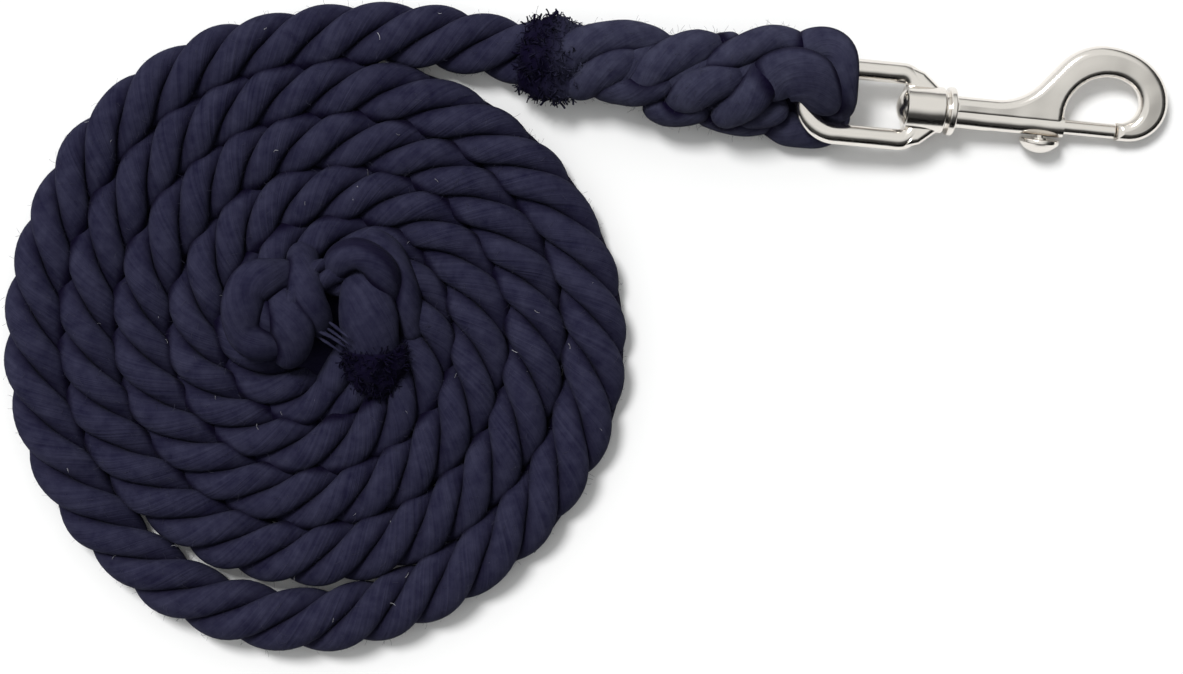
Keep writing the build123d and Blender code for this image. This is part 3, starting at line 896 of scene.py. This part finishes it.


def yarn_group():
    """Fine streaks along the yarns and wide soft patches, as a colour and a height. The colour also carries
    painted shade.
    """
    tree, given, result = node_group(
        "spun_yarn",
        "ShaderNodeTree",
        (("Dark", "Color", (0, 0, 0, 1)), ("Light", "Color", (1, 1, 1, 1)), ("Fineness", "Float", 1.0)),
        (("Colour", "Color"), ("Height", "Float")),
    )
    fineness = given.outputs["Fineness"]
    uv = add_node(tree, "ShaderNodeUVMap", uv_map="yarn").outputs["UV"]
    place = add_node(tree, "ShaderNodeTexCoord").outputs["Object"]
    fine = add_node(tree, "ShaderNodeMapping", Vector=uv, Scale=FIBRE_STREAKS).outputs[0]
    coarse = add_node(tree, "ShaderNodeMapping", Vector=uv, Scale=YARN_STREAKS).outputs[0]
    fibres = add_node(tree, "ShaderNodeTexNoise", Vector=fine, Scale=fineness, Detail=3.0, Roughness=0.6)
    yarns = add_node(tree, "ShaderNodeTexNoise", Vector=coarse, Scale=fineness, Detail=2.0, Roughness=0.5)
    patches = add_node(
        tree, "ShaderNodeTexNoise", Vector=place, Scale=DYE_PATCHES, Detail=4.0, Roughness=0.65
    )
    height = add_node(
        tree,
        "ShaderNodeMath",
        {0: fibres.outputs["Fac"], 1: FIBRE_HEIGHT, 2: yarns.outputs["Fac"]},
        operation="MULTIPLY_ADD",
    ).outputs[0]
    dyed = add_node(tree, "ShaderNodeMath", {0: patches.outputs["Fac"], 1: PATCH_TONE}, operation="MULTIPLY")
    tone = add_node(
        tree, "ShaderNodeMath", {0: height, 1: STREAK_TONE, 2: dyed.outputs[0]}, operation="MULTIPLY_ADD"
    )
    spread = add_node(
        tree, "ShaderNodeMapRange", Value=tone.outputs[0], From_Min=TONE_RANGE[0], From_Max=TONE_RANGE[1]
    )
    colour = add_node(
        tree,
        "ShaderNodeMix",
        {0: spread.outputs["Result"], 6: given.outputs["Dark"], 7: given.outputs["Light"]},
        data_type="RGBA",
    )
    # Painted shade: the attribute of painted light mixes the colour down to the crease shade colour.
    painted_light = add_node(tree, "ShaderNodeAttribute", attribute_name="painted_light").outputs["Fac"]
    unshaded = add_node(tree, "ShaderNodeMapRange", Value=painted_light, From_Min=0.0, From_Max=UNSHADED_FROM)
    shaded = add_node(
        tree,
        "ShaderNodeMix",
        {0: unshaded.outputs["Result"], 6: CREASE_SHADE_COLOUR, 7: colour.outputs[2]},
        data_type="RGBA",
    )
    tree.links.new(shaded.outputs[2], result.inputs["Colour"])
    tree.links.new(height, result.inputs["Height"])
    return tree


spun_yarn = yarn_group()
print("spun yarn's nodes", len(spun_yarn.nodes))

# %% [markdown]
# Four cottons come from the one group. The rope is dark navy, the splices are a shade paler because they
# are handled, and the fuzz and the specks of lint are paler still.

# %% Dyed cottons
COTTON_ROUGHNESS = 0.92
COTTON_SHINE = 0.05
SHEEN_ROUGHNESS = 0.5
SHEEN_TINT = (0.35, 0.38, 0.5, 1)
YARN_RELIEF = 0.0004


def cotton(name, dark, light, sheen=0.03):
    """Dyed cotton: a matt shader with sheen, coloured and raised by the yarn group."""
    material, shader = new_material(
        name,
        Roughness=COTTON_ROUGHNESS,
        Specular_IOR_Level=COTTON_SHINE,
        Sheen_Weight=sheen,
        Sheen_Roughness=SHEEN_ROUGHNESS,
        Sheen_Tint=SHEEN_TINT,
    )
    tree = material.node_tree
    yarn = add_node(
        tree, "ShaderNodeGroup", node_tree=spun_yarn, Dark=(*dark, 1), Light=(*light, 1), Fineness=1.0
    )
    raised = add_node(
        tree, "ShaderNodeBump", Strength=1.0, Distance=YARN_RELIEF, Height=yarn.outputs["Height"]
    )
    tree.links.new(yarn.outputs["Colour"], shader.inputs["Base Color"])
    tree.links.new(raised.outputs["Normal"], shader.inputs["Normal"])
    return material


navy = cotton("navy_cotton", (0.0085, 0.0080, 0.024), (0.030, 0.030, 0.057))
handled = cotton("handled_navy_cotton", (0.013, 0.0125, 0.031), (0.041, 0.042, 0.072))
fuzz = cotton("cotton_fuzz", (0.030, 0.030, 0.050), (0.060, 0.060, 0.085), sheen=0.05)
lint = cotton("pale_lint", (0.30, 0.30, 0.33), (0.50, 0.50, 0.52), sheen=0.05)
for piece, cloth in (
    (laid_rope, navy),
    (eye_splice, handled),
    (rope_eye, handled),
    (back_splice, navy),
    (crown_knot, navy),
    (loose_yarns, navy),
):
    piece.data.materials.append(cloth)
    print(piece.name, "is of", cloth.name)

# %% [markdown]
# Two rings of cut yarn ends stand where the splices stop: one round the rope beside the eye splice, and one
# in the heart of the coil. Each starts as a lumpy core, which is what shows between the fibres.

# %% The tufts' cores
TUFT_POINTS = 40  # round a core
TUFT_STEP = 0.0012
LUMPS = 5
LUMP_HEIGHT = 0.10  # of the radius
LUMP_WAVE = 0.01
RAGGEDNESS = 0.07  # of the radius
TUFT_FLATNESS = 0.92
CORE_MOTTLE = 0.12
MAP_RADIUS = 0.01  # the UV map is laid out for a core this thick


def tuft_core(name, route, radii, shades):
    """A lumpy round core along a short route. Radii and painted shades are spread along it, 0 the darkest
    painted shade.
    """
    line = nurbs_line(route, TUFT_STEP)
    along = lengths_along(line)
    reach = np.interp(along / along[-1], np.linspace(0, 1, len(radii)), radii)
    angles = np.linspace(0, 2 * math.pi, TUFT_POINTS, endpoint=False)
    lumps = 1 + LUMP_HEIGHT * np.sin(LUMPS * angles[None, :] + 2 * wander(along, LUMP_WAVE)[:, None])
    lumps = lumps + rng.uniform(-RAGGEDNESS, RAGGEDNESS, (len(line), TUFT_POINTS))
    wide = reach[:, None] * lumps
    rings = rings_round(line, angles, wide, wide * TUFT_FLATNESS)
    across = np.append(angles, 2 * math.pi) * MAP_RADIUS
    uvs = np.stack(np.broadcast_arrays(across[None, :], along[:, None]), axis=2)
    light = np.interp(along / along[-1], np.linspace(0, 1, len(shades)), shades)
    mottle = rng.uniform(-CORE_MOTTLE, CORE_MOTTLE, (len(line), TUFT_POINTS))
    return ring_mesh(name, rings, uvs, np.clip(light[:, None] + mottle, 0, 1))


# The eye splice's ring has painted shade, darkest towards the rope, where the cut ends stand up, and paler
# where they lie.
splice_tuft = tuft_core(
    "splice_tuft_core",
    ((-0.1600, 0.0150, 0.0105), (-0.1510, 0.0138, 0.0118), (-0.1400, 0.0130, 0.0125)),
    (0.0108, 0.0138, 0.0140, 0.0112),
    (0.0, 0.0, 0.12, 0.55, 0.75),
)
# The heart's ring is painted almost wholly in shade.
end_tuft = tuft_core(
    "end_tuft_core",
    ((-0.2110, -0.1000, 0.0115), (-0.2115, -0.0935, 0.0160), (-0.2118, -0.0860, 0.0195)),
    (0.0078, 0.0098, 0.0106, 0.0098),
    (0.05, 0.0, 0.0),
)
print("points of the cores", len(splice_tuft.data.vertices), len(end_tuft.data.vertices))

# %% [markdown]
# Three sizes of fibre make a tuft: thick short ones for the yarn ends that stand up, a dense mat of thinner
# ones that lie down, and a few fine wisps that have come apart.

# %% The tufts' fibres
YARN_ENDS = {"Density": 90000.0, "Length": 0.0034, "Width": 0.00042, "Lean": 0.8, "Bend": 0.3}
MATTED = {"Density": 420000.0, "Length": 0.0026, "Width": 0.00022, "Lean": 1.5, "Bend": 0.5}
WISPS = {"Density": 30000.0, "Length": 0.0042, "Width": 0.00006, "Lean": 1.0, "Bend": 0.8}
tuft_fibres = []
for core, cloth, seed in ((splice_tuft, handled, 3), (end_tuft, navy, 5)):
    core.data.materials.append(cloth)
    stem = core.name.replace("_core", "")
    kinds = (("yarns", cloth, YARN_ENDS, 0), ("mat", cloth, MATTED, 10), ("wisps", fuzz, WISPS, 20))
    for kind, dye, sizes, step in kinds:
        tuft_fibres.append(grow_fibres(f"{stem}_{kind}", core, dye, Seed=seed + step, **sizes))

# %% [markdown]
# All cotton has fuzz: very fine fibres that lean over, which soften its outline against the floor. Here and
# there a pale speck of lint clings to the dark rope.

# %% Fuzz and lint
FUZZ = {"Width": 0.00004, "Lean": 1.3, "Bend": 0.8}
LINT = {"Width": 0.00010, "Lean": 1.5, "Bend": 0.8}
rope_fuzz = grow_fibres("rope_fuzz", laid_rope, fuzz, Density=42000.0, Length=0.0022, Seed=11, **FUZZ)
rope_lint = grow_fibres("rope_lint", laid_rope, lint, Density=700.0, Length=0.0020, Seed=12, **LINT)
splice_fuzz = grow_fibres("splice_fuzz", eye_splice, fuzz, Density=90000.0, Length=0.0024, Seed=13, **FUZZ)

# %% [markdown]
# The snap is a zinc casting, polished and nickel-plated. Such plate is bright and a little warm. It isn't
# an even mirror: the casting under it swells slowly, the polishing leaves a fine ripple, and the gloss
# varies with it. The CAD pieces keep their own shapes and only get this material.

# %% Nickel plate
PLATE_COLOUR = (0.80, 0.76, 0.71, 1)
PLATE_ROUGHNESS = 0.17
GLOSSIEST = 0.7  # times the roughness
DULLEST = 1.5
POLISH_SCALE = 90.0
POLISH_RIPPLE = 0.00004
CASTING_SCALE = 55.0
CASTING_SWELL = 0.0009


def nickel_plate():
    """Bright plate whose gloss changes a little from place to place."""
    material, shader = new_material("nickel_plate", Metallic=1.0, Base_Color=PLATE_COLOUR)
    tree = material.node_tree
    place = add_node(tree, "ShaderNodeTexCoord").outputs["Object"]
    polish = add_node(tree, "ShaderNodeTexNoise", Vector=place, Scale=POLISH_SCALE, Detail=4.0).outputs["Fac"]
    gloss = add_node(
        tree,
        "ShaderNodeMapRange",
        Value=polish,
        To_Min=PLATE_ROUGHNESS * GLOSSIEST,
        To_Max=PLATE_ROUGHNESS * DULLEST,
    )
    casting = add_node(tree, "ShaderNodeTexNoise", Vector=place, Scale=CASTING_SCALE, Detail=1.0)
    swell = add_node(
        tree, "ShaderNodeBump", Strength=1.0, Distance=CASTING_SWELL, Height=casting.outputs["Fac"]
    )
    ripple = add_node(
        tree,
        "ShaderNodeBump",
        Strength=1.0,
        Distance=POLISH_RIPPLE,
        Height=polish,
        Normal=swell.outputs["Normal"],
    )
    tree.links.new(gloss.outputs["Result"], shader.inputs["Roughness"])
    tree.links.new(ripple.outputs["Normal"], shader.inputs["Normal"])
    return material


PLATED = ("swivel_eye", "swivel_rivet", "snap_body", "snap_bolt", "thumb_knob", "bolt_spring")
nickel = nickel_plate()
for node in PLATED:
    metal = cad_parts[node]
    metal.data.materials.clear()
    metal.data.materials.append(nickel)
print("plated pieces", len(PLATED))

# %% [markdown]
# The rope lies on a plain white floor. To the camera and in the metal the floor glows very slightly, which
# brings it up to white without putting more light on the rope.

# %% The floor
FLOOR_REACH = 3.0
FLOOR_GREY = 0.86
FLOOR_GLOW = 0.02
floor_mesh = bpy.data.meshes.new("floor")
corners = [(x * FLOOR_REACH, y * FLOOR_REACH, 0) for x, y in ((-1, -1), (1, -1), (1, 1), (-1, 1))]
floor_mesh.from_pydata(corners, [], [(0, 1, 2, 3)])
floor = bpy.data.objects.new("floor", floor_mesh)
scene.collection.objects.link(floor)
paper, paper_shader = new_material(
    "white_floor",
    Base_Color=(FLOOR_GREY, FLOOR_GREY, FLOOR_GREY, 1),
    Roughness=1.0,
    Specular_IOR_Level=0.0,
    Emission_Color=(1, 1, 1, 1),
)
tree = paper.node_tree
rays = add_node(tree, "ShaderNodeLightPath").outputs
seen = add_node(
    tree, "ShaderNodeMath", {0: rays["Is Camera Ray"], 1: rays["Is Glossy Ray"]}, operation="MAXIMUM"
)
glow = add_node(tree, "ShaderNodeMath", {0: seen.outputs[0], 1: FLOOR_GLOW}, operation="MULTIPLY")
tree.links.new(glow.outputs[0], paper_shader.inputs["Emission Strength"])
floor_mesh.materials.append(paper)
print("floor", 2 * FLOOR_REACH, "metres across")

# %% [markdown]
# The light is a big soft window, high up at the top left, in a room that is dim on the other side. The
# world is a ramp from dark to light towards the window, which is what the metal mirrors. A soft sun from the
# same side gives the rope its short shadow.

# %% The light
WINDOW_SIDE = (-0.30, 0.42, 0.86)
ROOM_GREYS = ((0.0, 0.04), (0.36, 0.06), (0.54, 0.66), (0.68, 1.0), (0.93, 0.90))
ROOM_TINT = 1.01  # how much greener than grey the room is
ROOM_LIGHT = 0.90
SUN_LIGHT = 2.4
SUN_WIDTH = math.radians(17)
SUN_TURN = (math.radians(-23), math.radians(-18), 0)
world = bpy.data.worlds.new("studio")
scene.world = world
world.use_nodes = True
tree = world.node_tree
background = tree.nodes["Background"]
direction = add_node(tree, "ShaderNodeTexCoord").outputs["Generated"]
facing = add_node(tree, "ShaderNodeVectorMath", {0: direction, 1: WINDOW_SIDE}, operation="DOT_PRODUCT")
ramp = add_node(tree, "ShaderNodeValToRGB", Fac=facing.outputs["Value"])
for place, grey in ROOM_GREYS:
    stop = ramp.color_ramp.elements.new(place)
    stop.color = (grey, grey * ROOM_TINT, grey, 1)
ramp.color_ramp.elements.remove(ramp.color_ramp.elements[-1])
tree.links.new(ramp.outputs["Color"], background.inputs["Color"])
background.inputs["Strength"].default_value = ROOM_LIGHT

sun_data = bpy.data.lights.new("window", "SUN")
sun_data.energy = SUN_LIGHT
sun_data.angle = SUN_WIDTH
sun = bpy.data.objects.new("window", sun_data)
sun.rotation_euler = SUN_TURN
scene.collection.objects.link(sun)
scene.view_settings.view_transform = "Standard"
print("room", ROOM_LIGHT, "sun", SUN_LIGHT)

# %% [markdown]
# The spring behind the bolt is the one metal piece that changes shape. A copy of its mesh, merged so that
# its faces share their corners, takes its place and rides on the snap.

# %% The spring
SAME_PLACE = 1e-6
spring_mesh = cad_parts["bolt_spring"].data.copy()
merger = bmesh.new()
merger.from_mesh(spring_mesh)
bmesh.ops.remove_doubles(merger, verts=merger.verts, dist=SAME_PLACE)
merger.to_mesh(spring_mesh)
merger.free()
spring = bpy.data.objects.new("bolt_spring_coils", spring_mesh)
scene.collection.objects.link(spring)
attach(spring, "snap")
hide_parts("bolt_spring")
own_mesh(spring)
print("spring triangles", len(spring_mesh.polygons))

# %% [markdown]
# Each soft piece takes the place of the plain solid that the CAD frame has there. Most ride on the rope's
# body. The rope round the metal, which on real rope bends there bit by bit, is baked in place: the eye
# splice, the rope's eye and the splice's fuzz ride on no body. Strands that dip below the floor are pressed
# flat on it.

# %% What each piece stands for
ON_FLOOR = 0.0001
STANDS_FOR = {
    laid_rope: ("rope_coil", "lead_rope"),
    eye_splice: ("eye_splice",),
    rope_eye: ("rope_eye",),
    back_splice: ("back_splice",),
    crown_knot: ("crown_knot",),
    splice_tuft: ("splice_tuft",),
    end_tuft: ("end_tuft",),
}


def rest_on_floor(piece):
    """Flatten whatever part of a piece would be below the floor."""
    places = np.empty(len(piece.data.vertices) * 3, dtype=np.float32)
    piece.data.vertices.foreach_get("co", places)
    heights = places.reshape(-1, 3)[:, 2]
    np.maximum(heights, ON_FLOOR, out=heights)
    piece.data.vertices.foreach_set("co", places)
    piece.data.update()


fuzzy = [loose_yarns, rope_fuzz, rope_lint, splice_fuzz, *tuft_fibres]
for piece in (*STANDS_FOR, *fuzzy):
    rest_on_floor(piece)
    if piece in (eye_splice, rope_eye, splice_fuzz):
        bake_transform(piece)
    else:
        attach(piece, "rope")
for piece, nodes in STANDS_FOR.items():
    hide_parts(*nodes)
    print(piece.name, "stands for", *nodes)
